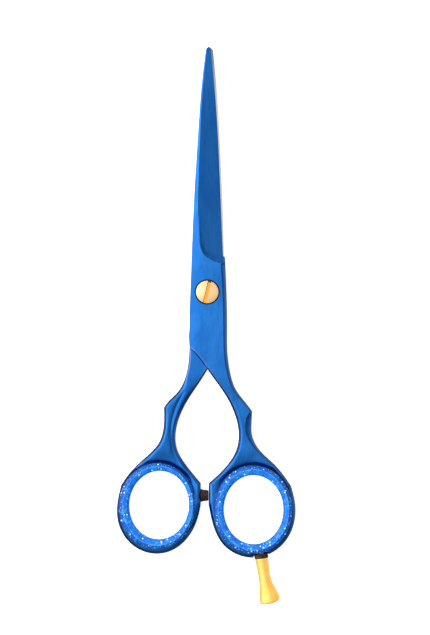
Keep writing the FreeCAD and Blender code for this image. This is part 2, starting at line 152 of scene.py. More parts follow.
def distance_to(line, points):
    """For each point, the distance to a polyline and how far along it the nearest place lies."""
    start, step = line[:-1], np.diff(line, axis=0)
    squared = (step ** 2).sum(1)
    lengths = np.sqrt(squared)
    before = np.concatenate([[0.0], np.cumsum(lengths)[:-1]])
    offset = points[:, None, :] - start[None]
    share = np.clip((offset * step[None]).sum(2) / squared, 0, 1)
    gap = np.linalg.norm(offset - share[..., None] * step[None], axis=2)
    nearest = gap.argmin(1)
    rows = np.arange(len(points))
    return gap[rows, nearest], before[nearest] + share[rows, nearest] * lengths[nearest]


def inside(loop, points):
    """Which points lie inside a closed loop."""
    x, y = points[:, 0][:, None], points[:, 1][:, None]
    ax, ay = loop[:, 0][None], loop[:, 1][None]
    bx, by = np.roll(loop[:, 0], -1)[None], np.roll(loop[:, 1], -1)[None]
    crosses = ((ay > y) != (by > y)) & (x < (bx - ax) * (y - ay) / (by - ay + 1e-12) + ax)
    return crosses.sum(1) % 2 == 1


def closed_line(loop):
    """A loop with its first point repeated at its end."""
    return np.vstack([loop, loop[:1]])


def loop_gap(loop, points):
    """For each point, the distance to a closed loop."""
    return distance_to(closed_line(loop), points)[0]


def left_of(line):
    """Unit vectors that point to the left of a polyline, at each of its points."""
    ends = np.vstack([line[:1], line, line[-1:]])
    direction = ends[2:] - ends[:-2]
    direction /= np.linalg.norm(direction, axis=1)[:, None] + 1e-12
    return np.stack([-direction[:, 1], direction[:, 0]], 1)


def ellipse_points(ellipse, grow, count):
    """Points round an ellipse given as (x, y, half width, half height, lean), grown by a margin."""
    x, y, half_width, half_height, lean = ellipse
    angle = np.linspace(0, 2 * math.pi, count, endpoint=False)
    across = (half_width + grow) * np.cos(angle)
    along = (half_height + grow) * np.sin(angle)
    c, s = math.cos(math.radians(lean)), math.sin(math.radians(lean))
    return np.stack([x + across * c - along * s, y + across * s + along * c], 1)


def circle_points(radius, count):
    return ellipse_points((0.0, 0.0, radius, radius, 0.0), 0.0, count)


def smoothstep(low, high, value):
    t = np.clip((value - low) / (high - low), 0, 1)
    return t * t * (3 - 2 * t)


def along_y(values, y):
    """A quantity along the shears: one number, or a list of pairs (y, value)."""
    pairs = sorted(values) if isinstance(values, list) else [(0.0, values)]
    return np.interp(y, [p[0] for p in pairs], [p[1] for p in pairs])


# ---- closed meshes


class Build:
    """Vertices and faces gathered into one closed mesh, in millimetres.

    Each vertex carries a mark, a number that its material can use, and a shade, the amount of painted shade,
    1 where it is darkest."""

    def __init__(self):
        self.vertices = []
        self.marks = []
        self.shades = []
        self.faces = []
        self.materials = []

    def add(self, points, marks=0.0, shades=0.0):
        first = len(self.vertices)
        self.vertices.extend(tuple(p) for p in np.asarray(points, float).tolist())
        self.marks.extend(np.broadcast_to(marks, (len(points),)).tolist())
        self.shades.extend(np.broadcast_to(shades, (len(points),)).tolist())
        return np.arange(first, first + len(points))

    def add_faces(self, faces, material=0):
        for face in faces:
            self.faces.append(tuple(int(i) for i in face))
            self.materials.append(material)

    def bridge(self, upper, lower, material=0, closed=True):
        """Quads between two rows of vertices of the same length."""
        count = len(upper)
        last = count if closed else count - 1
        self.add_faces([(upper[i], lower[i], lower[(i + 1) % count], upper[(i + 1) % count])
                        for i in range(last)], material)

    def loft(self, rings, marks=0.0, closed=False, material=0):
        """Skin through rings of points; the ends are capped unless the last joins the first."""
        if np.ndim(marks) == 0:
            marks = [marks] * len(rings)
        rows = [self.add(ring, mark) for ring, mark in zip(rings, marks)]
        for upper, lower in zip(rows, rows[1:]):
            self.bridge(upper, lower, material)
        if closed:
            self.bridge(rows[-1], rows[0], material)
        else:
            self.add_faces([rows[0], rows[-1]], material)
        return rows

    def finish(self, name, sharp_angle, materials):
        """Write the mesh. Edges that turn more than sharp_angle, in degrees, are shaded sharp."""
        mesh = bpy.data.meshes.new(name)
        mesh.from_pydata([tuple(c * MM for c in v) for v in self.vertices], [], self.faces)
        mesh.attributes.new("mark", "FLOAT", "POINT").data.foreach_set("value", self.marks)
        mesh.attributes.new("shade", "FLOAT", "POINT").data.foreach_set("value", self.shades)
        for material in materials:
            mesh.materials.append(material)
        mesh.polygons.foreach_set("material_index", self.materials)
        mesh.polygons.foreach_set("use_smooth", [True] * len(mesh.polygons))
        shell = bmesh.new()
        shell.from_mesh(mesh)
        bmesh.ops.recalc_face_normals(shell, faces=shell.faces)
        shell.to_mesh(mesh)
        shell.free()
        mesh.set_sharp_from_angle(angle=math.radians(sharp_angle))
        mesh.update()
        piece = bpy.data.objects.new(name, mesh)
        bpy.context.scene.collection.objects.link(piece)
        return piece


def at_height(points, height):
    return np.column_stack([points, np.broadcast_to(height, (len(points),))])


def place(piece, body, node):
    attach(piece, body)
    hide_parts(node)


# ---- triangles over a flat area

# Rows stay this far from the loops, and grid points this share of their spacing from all other points.
ROW_CLEARANCE = 0.06
GRID_CLEARANCE = 0.45
# Distances are worked out for so many points at a time.
BATCH = 400
# Points nearer to each other than this become one.
MERGE_GAP = 1e-5


def within(loops, points):
    """Which points lie inside the first loop and outside the others, its holes."""
    found = inside(loops[0], points)
    for hole in loops[1:]:
        found &= ~inside(hole, points)
    return found


def runs_of(row, kept, least=2):
    """The unbroken runs of kept points in a row, those with at least so many points."""
    breaks = np.flatnonzero(np.diff(kept.astype(int))) + 1
    pieces = np.split(np.arange(len(row)), breaks)
    return [row[part] for part in pieces if kept[part[0]] and len(part) >= least]


def grid_over(loops, spacing, others):
    """Staggered grid points over the area, clear of the other points."""
    low, high = loops[0].min(0), loops[0].max(0)
    x, y = np.meshgrid(np.arange(low[0], high[0], spacing), np.arange(low[1], high[1], spacing))
    x[1::2] += spacing / 2
    grid = np.stack([x.ravel(), y.ravel()], 1)
    grid = grid[within(loops, grid)]
    nearest = np.full(len(grid), np.inf)
    for start in range(0, len(others), BATCH):
        gaps = np.linalg.norm(grid[:, None] - others[start:start + BATCH][None], axis=2).min(1)
        nearest = np.minimum(nearest, gaps)
    return grid[nearest > GRID_CLEARANCE * spacing]


def triangulate(loops, rows, spacing):
    """Triangles over the area between an outer loop and its holes, following the rows given inside it.

    Returns the points, the triangles, and for each loop the indices of its points."""
    lines = list(loops)
    for row in rows:
        clear = within(loops, row)
        for loop in loops:
            clear &= loop_gap(loop, row) > ROW_CLEARANCE
        lines += runs_of(row, clear, least=1)
    starts = np.cumsum([0] + [len(line) for line in lines]).tolist()
    edges = []
    for index, (first, after) in enumerate(zip(starts, starts[1:])):
        edges += [(i, i + 1) for i in range(first, after - 1)]
        if index < len(loops):
            edges.append((after - 1, first))
    lines.append(grid_over(loops, spacing, np.concatenate(lines)))
    coordinates = [Vector((float(x), float(y))) for x, y in np.concatenate(lines)]
    found = delaunay_2d_cdt(coordinates, edges, [], 0, MERGE_GAP, True)
    placed = np.array([tuple(v) for v in found[0]])
    triangles = np.array([f for f in found[2] if len(f) == 3])
    triangles = triangles[within(loops, placed[triangles].mean(1))]
    a, b, c = (placed[triangles[:, corner]] for corner in range(3))
    turn = (b[:, 0] - a[:, 0]) * (c[:, 1] - a[:, 1]) - (b[:, 1] - a[:, 1]) * (c[:, 0] - a[:, 0])
    real = np.abs(turn) > TINY
    triangles, turn = triangles[real], turn[real]
    triangles[turn < 0] = triangles[turn < 0][:, ::-1]
    where = {source: new for new, sources in enumerate(found[3]) for source in sources}
    indices = [np.array([where[i] for i in range(starts[k], starts[k + 1])]) for k in range(len(loops))]
    return placed, triangles, indices


# ---- the finger rest's axis and sections

REST_LEAN = math.radians(8.0)
REST_SEAT = (17.4, -84.75)
REST_WASHER = 1.4
REST_SEAT_RADIUS = 2.4
REST_LENGTH = 14.5
REST_SLANT = math.tan(math.radians(6.0))
REST_END_DOME = 0.45
# Distance from the washer, half width, half thickness and sideways shift.
REST_SECTIONS = [(0.0, 2.1, 2.1, 0.0), (2.2, 2.02, 2.02, 0.02), (4.8, 1.93, 1.9, 0.05),
                 (7.6, 2.08, 1.95, 0.16), (10.0, 2.6, 2.1, 0.45), (12.6, 3.2, 2.35, 0.75),
                 (15.6, 3.3, 2.35, 0.8)]


def rest_axes():
    along = np.array([math.sin(REST_LEAN), -math.cos(REST_LEAN), 0.0])
    across = np.array([math.cos(REST_LEAN), math.sin(REST_LEAN), 0.0])
    origin = np.array([REST_SEAT[0], REST_SEAT[1], RIDE_Z])
    return origin, along, across


# ---- the two forged halves

# Spacing of the points along the long flat curves of the blades, and along the other stretches.
BLADE_STRETCHES = ("spine", "edge", "ricasso")
BLADE_SPACING = 0.9
STRETCH_SPACING = 0.4
# Spacing of the points over the outer sides.
OUTER_SPACING = 0.75
# A rim's rows lie at these shares of its width, and break off where another stretch comes nearer.
RIM_SHARES = (0.06, 0.2, 0.36, 0.52, 0.68, 0.84, 1.0, 1.12)
RIM_CLEARANCE = 0.93
PLUNGE_OFFSETS = (0.3, 0.7, 1.1, 1.5, 1.9, 2.3, 2.7, 3.1)
PLUNGE_CLEARANCE = 0.95
VALLEY_OFFSETS = (-1.0, -0.6, -0.3, 0.0, 0.3, 0.6, 1.0)
LIP_MARGINS = (-0.1, 0.15, 0.35, 0.6, 0.9, 1.3, 1.8)


def flatten_seat(line):
    """The ring's edge, cut straight under the finger rest's washer."""
    origin, along, across = rest_axes()
    offset = line - origin[:2]
    beyond, sideways = offset @ along[:2], offset @ across[:2]
    cut = (np.abs(sideways) < REST_SEAT_RADIUS) & (beyond > 0)
    return line - np.where(cut, beyond, 0.0)[:, None] * along[:2]


class Half:
    """One half: its sampled outline and holes, the other half's shoulder line, and its surface.

    side is +1 for the upper half, with its ring on the +X side and its outer side up, and -1 for the
    lower half. plunge is the line where the blade face ends, and crown is how round the shank is."""

    def __init__(self, side, outline, hole, lip, rims, plunge, valley, crown, shoulder):
        self.side, self.lip, self.rims = side, lip, rims
        self.plunge, self.valley, self.crown = plunge, valley, crown
        self.stretches = {}
        corner = list(outline.values())[-1][-1]
        for name, points in outline.items():
            spacing = BLADE_SPACING if name in BLADE_STRETCHES else STRETCH_SPACING
            self.stretches[name] = smooth_curve([corner] + points, spacing)
            corner = points[-1]
        self.stretches["ring"] = flatten_seat(self.stretches["ring"])
        self.outline = np.concatenate([line[:-1] for line in self.stretches.values()])
        self.ring_hole = ellipse_points(hole, INSERT_WALL, count=140)
        self.shoulder_start = self.nearest_to(shoulder[0])
        self.shoulder_end = self.nearest_to(shoulder[2])
        corners = [tuple(self.outline[self.shoulder_start]), shoulder[1],
                   tuple(self.outline[self.shoulder_end])]
        self.shoulder = smooth_curve(corners, spacing=0.5)

    def nearest_to(self, place_at):
        """The index of the outline's point nearest to a place."""
        return int(np.linalg.norm(self.outline - np.array(place_at), axis=1).argmin())

    def gap(self, stretch, points):
        """For each point, the distance to a stretch of the outline."""
        return distance_to(self.stretches[stretch], points)[0]

    def inward(self):
        """+1 where the inside lies to the left of the outline."""
        x, y = self.outline.T
        return 1.0 if (x * np.roll(y, -1) - np.roll(x, -1) * y).sum() > 0 else -1.0

    def rim_rows(self):
        """Rows of points that follow each rim, so that its curve is smooth."""
        rows = []
        for one in self.rims:
            line = self.stretches[one["along"]]
            width = along_y(one["width"], line[:, 1])
            for share in RIM_SHARES:
                row = line + left_of(line) * self.inward() * (width * share)[:, None]
                rows += runs_of(row, loop_gap(self.outline, row) > RIM_CLEARANCE * width * share)
        return rows

    def plunge_rows(self):
        """Rows along the line where the ground face meets the ricasso, and beside it on the ground side."""
        line = smooth_curve(self.plunge, spacing=0.35)
        rows = [line]
        for offset in PLUNGE_OFFSETS:
            row = line + left_of(line) * self.side * offset
            rows += runs_of(row, distance_to(line, row)[0] > PLUNGE_CLEARANCE * offset)
        return rows

    def shank_rows(self):
        """Rows round the insert's lip, where the steel dips, and along the shank's valley."""
        line = smooth_curve(self.valley["line"], spacing=0.4)
        rows = [closed_line(ellipse_points(self.lip, margin, count=190)) for margin in LIP_MARGINS]
        return rows + [line + left_of(line) * offset for offset in VALLEY_OFFSETS]


# Outer tilt, in degrees, of a rim that is rounded right over.
RIM_EDGE = 62


def rim(along, width, inner_tilt, outer_tilt):
    """A rounded or flat bevel along one stretch. Width and tilts (degrees) are given along y."""
    return {"along": along, "width": width, "inner": inner_tilt, "outer": outer_tilt}


# Stretches of the outline along which the coat is painted paler and violet. This painted sheen stands in for
# the coat's tint at grazing angles. The spine gets less of it, by this offset.
EDGE_SHEEN_STRETCHES = ("outer", "web", "ring", "flat", "inner", "diagonal")
SPINE_SHEEN_OFFSET = 0.55
# Mark and painted shade inside the pivot holes: no painted sheen there, and the full painted shade.
NO_EDGE_SHEEN, FULL_PAINTED_SHADE = 2.0, 1.0
FINGER_RIMS = [
    rim("spine", [(79, 0.3), (55.6, 0.6), (24.5, 1.45), (17, 2.5), (8, 4.4), (0, 5.8), (-7, 6.2)],
        [(79, 36), (40, 36), (30, 32), (24.5, 22), (17, 7), (8, 0)],
        [(79, 38), (40, 38), (30, 34), (24.5, 24), (17, 17), (8, 14), (0, 12)]),
    rim("notch", [(-6.6, 6.2), (-18, 4.5)], 0, [(-6.6, 12), (-18, 9)]),
    rim("diagonal", [(-18, 0.45), (-23, 0.42), (-25, 0.2)], 36, 40),
    rim("inner", [(-25, 0.75), (-33, 1.0), (-38, 1.3), (-58, 1.3), (-61.9, 1.1)],
        [(-25, 8), (-34, 4), (-38, 0)], RIM_EDGE),
    rim("flat", 1.1, 8, 58),
    rim("ring", 1.45, 2, RIM_EDGE),
    rim("web", [(-38.5, 0.6), (-40.8, 1.9), (-43.6, 2.15), (-46, 1.9), (-49.5, 1.1), (-52, 0.95),
                (-62.7, 1.1)],
        [(-38.5, 24), (-44, 27), (-49, 18), (-53, 4), (-62, 0)],
        [(-38.5, 50), (-43.6, 44), (-49, 52), (-53, 58)]),
    rim("outer", [(11.2, 0.02), (9.5, 0.02), (9.0, 1.5), (6, 1.45), (0, 1.35), (-12, 1.25), (-23, 1.15),
                  (-28, 1.05), (-33, 0.85), (-38.5, 0.6)],
        [(0, 30), (-24, 28), (-34, 17)], 56),
]
THUMB_RIMS = [
    rim("spine", [(79, 0.3), (55.6, 0.62), (24.5, 1.45), (12, 3.2)],
        [(79, 36), (40, 36), (30, 32), (24.5, 22), (12, 5)], [(79, 38), (40, 38), (24.5, 24), (12, 16)]),
    rim("ricasso", [(12, 3.2), (-18, 3.0)], 0, 16),
    rim("diagonal", [(-18, 0.5), (-23, 0.45), (-25, 0.2)], 36, 40),
    rim("inner", [(-25, 0.5), (-30, 0.7), (-35, 1.15), (-57, 1.25), (-61.8, 1.1)], 12, 56),
    rim("flat", 1.1, 8, 58),
    rim("ring", 1.45, 2, RIM_EDGE),
    rim("web", [(-37.4, 1.2), (-43, 1.2), (-50, 1.3), (-62.4, 1.4)], 0, RIM_EDGE),
    rim("outer", [(11.2, 0.02), (9.5, 0.02), (9.0, 1.2), (-18, 0.6), (-27, 0.7), (-31, 1.7), (-37.4, 1.2)],
        [(0, 10), (-26, 10), (-31, 0)], [(0, 44), (-31, 56)]),
]
# Where the ground blade face ends at the ricasso, from the ridge round to the heel.
FINGER_PLUNGE = [(-2.94, 24.5), (-2.65, 18.3), (-2.13, 14.1), (-0.9, 11.9), (1.16, 10.4), (3.0, 9.55),
                 (4.2, 9.25), (7.5, 9.0)]
THUMB_PLUNGE = [(-x, y) for x, y in FINGER_PLUNGE]
# The valleys pressed into the shanks.
FINGER_VALLEY = {"line": [(8.6, -33.5), (11.2, -39.0), (12.3, -45.0), (11.6, -50.5)],
                 "depth": 0.1, "width": 1.3}
THUMB_VALLEY = {"line": [(-6.9, -31.0), (-9.4, -35.7), (-11.0, -39.9), (-11.7, -43.6), (-11.6, -48.0),
                         (-10.4, -53.0), (-7.6, -57.5)],
                "depth": 0.26, "width": 0.55}
# Each valley fades in and out over these distances.
VALLEY_FADE_IN, VALLEY_FADE_OUT = 2.0, 7.0

# The ground face rises from the edge, less steeply towards the tip. The plunge climbs from it to the
# ricasso, with a rounded foot, and the ricasso drops a little where it runs out into the ridge.
FACE_SLOPE = math.tan(math.radians(15.4))
EDGE_H = 0.32
TIP_FLATTENING = 0.3
TIP_Y = (45.0, 80.0)
PLUNGE_SLOPE = 0.9
PLUNGE_FOOT = 0.35
RIDGE_DROP = 0.25
RIDGE_FROM_Y = 14.0
# Blade faces are made above BLADE_Y, and the shank's height changes to the ricasso's along SHANK_Y.
BLADE_Y = 8.0
SHANK_Y = (-35.0, -26.0)
# These corners close the plunge line round the whole ground face.
OUTSIDE_X, OUTSIDE_Y = 30.0, 95.0
# The least height left under a rim, less from the heel to the tip.
LEAST_H, HEEL_LEAST_H = 0.3, 0.06
HEEL_Y = 9.3
# The crown's top, as a share of the way across the shank, and where it fades in and out.
CROWN_AT = 0.3
CROWN_START_Y = (-27.0, -36.0)
CROWN_END_Y = (-60.0, -50.0)
# The web dips towards the insert, and more sharply beside its lip. Both fade in above the ring.
DISH_MARGIN = 0.35
DISH_DEPTH, DISH_WIDTH = 0.6, 3.0
LIP_DIP, LIP_DIP_WIDTH = 0.4, 0.6
DISH_FADE = (3.0, 10.0)
# Painted shade in the seam round the lip: all round it, and added above the ring.
SEAM_MARGIN, SEAM_WIDTH = 0.25, 0.45
SEAM_SHADE, SEAM_SHADE_ABOVE = 0.25, 0.6
SEAM_FADE = (2.0, 11.0)
# The inner face is hollow along the blade, apart from a flat margin beside the edge and the spine.
HOLLOW_DEPTH, HOLLOW_MARGIN = 0.2, 0.3
HOLLOW_START_Y = (14.0, 22.0)
HOLLOW_END_Y = (79.0, 60.0)
# The inner face is bare steel from here to the tip.
BARE_FROM_Y = -14.0


def blade_face(half, points):
    """Height of the ground blade face, and of the flat ride area behind the plunge line."""
    x, y = points.T
    edge = half.stretches["edge"]
    order = edge[:, 1].argsort()
    beyond = (x - np.interp(y, edge[order, 1], edge[order, 0])) * half.side > 0
    edge_gap = half.gap("edge", points)
    slope = FACE_SLOPE * (1 - TIP_FLATTENING * smoothstep(*TIP_Y, y))
    ground = EDGE_H + np.where(beyond, -edge_gap, edge_gap) * slope
    line = smooth_curve(half.plunge, spacing=0.3)
    ridge_y = half.plunge[0][1]
    outside_x = half.side * OUTSIDE_X
    corners = [(outside_x, OUTSIDE_Y), (-outside_x, OUTSIDE_Y), (-outside_x, ridge_y)]
    in_ground = inside(np.vstack([line, corners]), points)
    ricasso = RICASSO_H - RIDGE_DROP * smoothstep(RIDGE_FROM_Y, ridge_y, y)
    above = ricasso - distance_to(line, points)[0] * PLUNGE_SLOPE - ground
    rounded = ground + 0.5 * (above + np.sqrt(above * above + PLUNGE_FOOT ** 2))
    return np.where(in_ground, np.minimum(rounded, ricasso), ricasso)


def crown_drop(half, points):
    """How far the shank falls away on both sides of its crown."""
    inner_gap = half.gap("inner", points)
    outer_gap = np.minimum(half.gap("web", points), half.gap("outer", points))
    across = (inner_gap if half.side > 0 else outer_gap) / (inner_gap + outer_gap + TINY)
    along = smoothstep(*CROWN_START_Y, points[:, 1]) * smoothstep(*CROWN_END_Y, points[:, 1])
    return half.crown * (across - CROWN_AT) ** 2 * along


def valley_drop(half, points):
    """How deep the valley is pressed into the shank. It fades at both ends."""
    line = half.valley["line"]
    gap, along = distance_to(smooth_curve(line, spacing=0.3), points)
    length = np.linalg.norm(np.diff(np.array(line), axis=0), axis=1).sum()
    fade = smoothstep(0.0, VALLEY_FADE_IN, along) * smoothstep(length, length - VALLEY_FADE_OUT, along)
    return half.valley["depth"] * np.exp(-(gap / half.valley["width"]) ** 2) * fade


def above_ring(half, fade, points):
    """0 beside the ring, 1 above it in the web."""
    return smoothstep(half.lip[1] + fade[0], half.lip[1] + fade[1], points[:, 1])


def dish_drop(half, points):
    """How far the web dips towards the insert and beside the insert's lip."""
    loop = ellipse_points(half.lip, DISH_MARGIN, count=160)
    gap = loop_gap(loop, points)
    outside = np.where(inside(loop, points), 0.0, 1.0)
    dish = DISH_DEPTH * np.exp(-(gap / DISH_WIDTH) ** 2) * outside
    return (dish + LIP_DIP * np.exp(-(gap / LIP_DIP_WIDTH) ** 2)) * above_ring(half, DISH_FADE, points)


def rim_drop(half, points):
    """How far the nearest rims pull the surface down."""
    y = points[:, 1]
    deepest = np.zeros(len(points))
    for one in half.rims:
        width = along_y(one["width"], y)
        inner = np.tan(np.radians(along_y(one["inner"], y)))
        outer = np.tan(np.radians(along_y(one["outer"], y)))
        u = np.clip(1 - half.gap(one["along"], points) / width, 0, 1)
        deepest = np.maximum(deepest, width * (inner * u + (outer - inner) * u * u / 2))
    return deepest


def outer_height(half, points):
    """Height of the outer side above the ride plane, over the whole outline of one half."""
    y = points[:, 1]
    shank = SHANK_H + (RICASSO_H - SHANK_H) * smoothstep(*SHANK_Y, y)
    level = np.where(y > BLADE_Y, blade_face(half, points), shank)
    for drop in (crown_drop, valley_drop, dish_drop, rim_drop):
        level = level - drop(half, points)
    return np.maximum(level, np.where(y > HEEL_Y, HEEL_LEAST_H, LEAST_H))


def inner_height(half, points):
    """Height of the face that slides on the other half: flat, hollow along the blade."""
    edge_gap, spine_gap = half.gap("edge", points), half.gap("spine", points)
    across = edge_gap / (edge_gap + spine_gap + TINY)
    hollow = np.clip(4 * across * (1 - across) - HOLLOW_MARGIN, 0, 1)
    hollow = hollow * smoothstep(*HOLLOW_START_Y, points[:, 1])
    return INNER_H + HOLLOW_DEPTH * hollow * smoothstep(*HOLLOW_END_Y, points[:, 1])


def seam_shade(half, points):
    """How much painted shade lies in the seam round the lip: most above the ring."""
    gap = loop_gap(ellipse_points(half.lip, SEAM_MARGIN, count=160), points)
    darkest = SEAM_SHADE + SEAM_SHADE_ABOVE * above_ring(half, SEAM_FADE, points)
    return darkest * np.exp(-(gap / SEAM_WIDTH) ** 2)


def edge_sheen_gap(half, points):
    """For each point, the distance to the nearest rim with painted sheen."""
    gaps = [half.gap(stretch, points) for stretch in EDGE_SHEEN_STRETCHES]
    return np.min(gaps + [half.gap("spine", points) + SPINE_SHEEN_OFFSET], axis=0)


def part_of(start, end, count):
    """Indices round the outline from one point to another."""
    return np.arange(start, end + (count if end < start else 0) + 1) % count


def forge(name, half, holes, materials):
    """One closed mesh: the outer side, the inner face, and the shank's far side beyond the shoulder.

    holes are the rings of the pivot hole from the outer side down, as (radius, height above the ride
    plane), with None where the surface's own height is used."""
    build = Build()
    rings = [circle_points(radius, count=72) for radius, _ in holes]
    rows = half.rim_rows() + half.shank_rows()

    def add(points, heights):
        # Each vertex's mark is its distance to the rims with painted sheen, and its shade is the painted
        # shade of the seam round the lip.
        return build.add(at_height(points, RIDE_Z + half.side * heights), edge_sheen_gap(half, points),
                         seam_shade(half, points))

    points, triangles, (edge, ring_hole, pivot) = triangulate(
        [half.outline, half.ring_hole, rings[0]], rows + half.plunge_rows(), OUTER_SPACING)
    outer = add(points, outer_height(half, points))
    build.add_faces(outer[triangles])

    count = len(half.outline)
    blade_part = part_of(half.shoulder_start, half.shoulder_end, count)
    ring_part = part_of(half.shoulder_end, half.shoulder_start, count)
    shoulder = half.shoulder[1:-1]

    blade_loop = np.vstack([half.outline[blade_part], shoulder[::-1]])
    points, triangles, (blade_edge, pivot_inner) = triangulate([blade_loop, rings[-1]], [], spacing=0.9)
    inner = add(points, inner_height(half, points))
    bare = points[triangles].mean(1)[:, 1] > BARE_FROM_Y
    build.add_faces(inner[triangles[bare]], 1)
    build.add_faces(inner[triangles[~bare]], 0)

    ring_loop = np.vstack([half.outline[ring_part], shoulder])
    points, triangles, (ring_edge, hole_far) = triangulate([ring_loop, half.ring_hole], rows, OUTER_SPACING)
    far = add(points, -outer_height(half, points))
    build.add_faces(far[triangles])

    blade_upper, blade_lower = outer[edge[blade_part]], inner[blade_edge[:len(blade_part)]]
    ring_upper, ring_lower = outer[edge[ring_part]], far[ring_edge[:len(ring_part)]]
    build.bridge(blade_upper, blade_lower, closed=False)
    build.bridge(ring_upper[1:-1], ring_lower[1:-1], closed=False)
    build.add_faces([[ring_upper[0], blade_lower[-1], ring_lower[0], ring_lower[1], ring_upper[1]],
                     [ring_upper[-2], ring_lower[-2], ring_lower[-1], blade_lower[0], ring_upper[-1]]])
    step_upper = np.concatenate([blade_lower[:1], inner[blade_edge[len(blade_part):]][::-1],
                                 blade_lower[-1:]])
    step_lower = np.concatenate([ring_lower[-1:], far[ring_edge[len(ring_part):]], ring_lower[:1]])
    build.bridge(step_upper, step_lower, closed=False)

    build.bridge(outer[ring_hole], far[hole_far])
    previous = outer[pivot]
    for circle, (_, level) in zip(rings[1:-1], holes[1:-1]):
        # The counterbore's walls get the full painted shade.
        ring = build.add(at_height(circle, RIDE_Z + half.side * level), NO_EDGE_SHEEN, FULL_PAINTED_SHADE)
        build.bridge(previous, ring)
        previous = ring
    build.bridge(previous, inner[pivot_inner])
    return build.finish(name, sharp_angle=13, materials=materials)


def finger_half(materials):
    half = Half(1, FINGER_OUTLINE, FINGER_HOLE, FINGER_LIP, FINGER_RIMS, FINGER_PLUNGE, FINGER_VALLEY, 0.75,
                [(6.48, -17.7), (3.08, -21.6), (0.34, -25.2)])
    holes = [(COUNTERBORE_RADIUS + 0.12, None), (COUNTERBORE_RADIUS + 0.07, RICASSO_H - 0.03),
             (COUNTERBORE_RADIUS, RICASSO_H - 0.1), (COUNTERBORE_RADIUS, COUNTERBORE_H),
             (SHAFT_HOLE_RADIUS, COUNTERBORE_H), (SHAFT_HOLE_RADIUS, None)]
    piece = forge("finger_half_steel", half, holes, materials)
    place(piece, "finger_half", "finger_blade")


def thumb_half(materials):
    half = Half(-1, THUMB_OUTLINE, THUMB_HOLE, THUMB_LIP, THUMB_RIMS, THUMB_PLUNGE, THUMB_VALLEY, 1.2,
                [(0.0, -25.1), (-2.75, -21.34), (-5.85, -18.1)])
    holes = [(THREAD_HOLE_RADIUS, None), (THREAD_HOLE_RADIUS, None)]
    piece = forge("thumb_half_steel", half, holes, materials)
    place(piece, "thumb_half", "thumb_blade")


# ---- finger inserts

# Section of an insert's upper half from the finger hole out: share of the way from the hole's wall to
# the lip's edge, and height above the middle plane as a share of the insert's half height.
INSERT_SECTION = [(0.0, 0.0), (0.0, 0.36), (0.01, 0.58), (0.05, 0.74), (0.13, 0.855), (0.24, 0.92),
                  (0.37, 0.955), (0.5, 0.975), (0.55, 0.985), (0.58, 1.0), (0.61, 1.0), (0.64, 0.98),
                  (0.68, 0.955), (0.76, 0.925), (0.85, 0.885), (0.92, 0.84), (0.97, 0.785), (1.0, 0.71)]


def between(first, second, share):
    return tuple(a + (b - a) * share for a, b in zip(first, second))


def insert(name, hole, lip, body, node, material):
    """A channel-shaped ring: a wall inside the steel ring, with a lip over each side of it."""
    build = Build()
    half_height = (INSERT_HIGH[2] - INSERT_LOW[2]) / 2
    upper = [(ellipse_points(between(hole, lip, share), 0.0, 200), level * half_height, share)
             for share, level in INSERT_SECTION]
    sleeve = ellipse_points(hole, INSERT_WALL - 0.03, 200)
    upper += [(sleeve, SHANK_H + 0.002, 0.5), (sleeve, 0.6, 0.5)]
    section = upper + [(ring, -level, share) for ring, level, share in upper[:0:-1]]
    # Each ring's mark is its share across the section, which sets the plastic's painted light.
    build.loft([at_height(ring, RIDE_Z + level) for ring, level, _ in section],
               [share for _, _, share in section], closed=True)
    place(build.finish(name, 40, [material]), body, node)


# ---- turned pieces


def turned(profile, origin, axis, across, count):
    """Rings of points around an axis, from pairs (distance along it, radius)."""
    origin, axis, across = (np.array(v, float) for v in (origin, axis, across))
    side = np.cross(axis, across)
    angle = np.linspace(0, 2 * math.pi, count, endpoint=False)[:, None]
    return [origin + axis * along + radius * (np.cos(angle) * across + np.sin(angle) * side)
            for along, radius in profile]


def rounded_corner(along, radius, size):
    """Profile points of a quarter round that ends flat at (along, radius - size)."""
    return [(along - size * (1 - math.sin(a)), radius - size * (1 - math.cos(a)))
            for a in np.linspace(0, math.pi / 2, 5)]


SLOT_HALF_WIDTH = 0.55
SLOT_DEPTH = 0.65
SLOT_WALL = 0.05
SLOT_ANGLE = math.radians(13.5)
# Width of the painted shade strip along the slot's left wall, and the painted shade over its upper end.
SLOT_SHADE = 0.25
SLOT_END_SHADE = 0.85
SLOT_END = (0.65, 0.35)
# The slot's floor is marked for the gold's deeper orange painted shade.
SLOT_SHADE_MARK = -1.0
HEAD_DOME, HEAD_ROUNDING = 0.6, 0.3
# The rounding stops just short of upright at the rim.
ROUNDING_SHARE = 0.96
THREAD_TURNS, THREAD_PITCH, THREAD_DEPTH = 5, 0.5, 0.22
ALONG_SLOT = np.array([math.sin(SLOT_ANGLE), math.cos(SLOT_ANGLE)])
ACROSS_SLOT = np.array([math.cos(SLOT_ANGLE), -math.sin(SLOT_ANGLE)])


def across_slot(points):
    return points[:, 0] * ACROSS_SLOT[0] + points[:, 1] * ACROSS_SLOT[1]


def head_height(points):
    """Height of the screw head: a low dome with a rounded rim and a slot with square walls."""
    radius, top_z = SCREW_HIGH[0], SCREW_HIGH[2]
    gap = np.clip(radius - np.linalg.norm(points, axis=1), 0, radius)
    dome = HEAD_DOME * (1 - gap / radius) ** 2
    short = np.clip(HEAD_ROUNDING - gap, 0, HEAD_ROUNDING)
    rounding = HEAD_ROUNDING - np.sqrt(HEAD_ROUNDING ** 2 - ROUNDING_SHARE * short ** 2)
    top = top_z - dome - rounding
    floor_z = top_z - SLOT_DEPTH
    wall = np.clip((np.abs(across_slot(points)) - SLOT_HALF_WIDTH) / SLOT_WALL, 0, 1)
    return floor_z + (np.maximum(top, floor_z) - floor_z) * wall


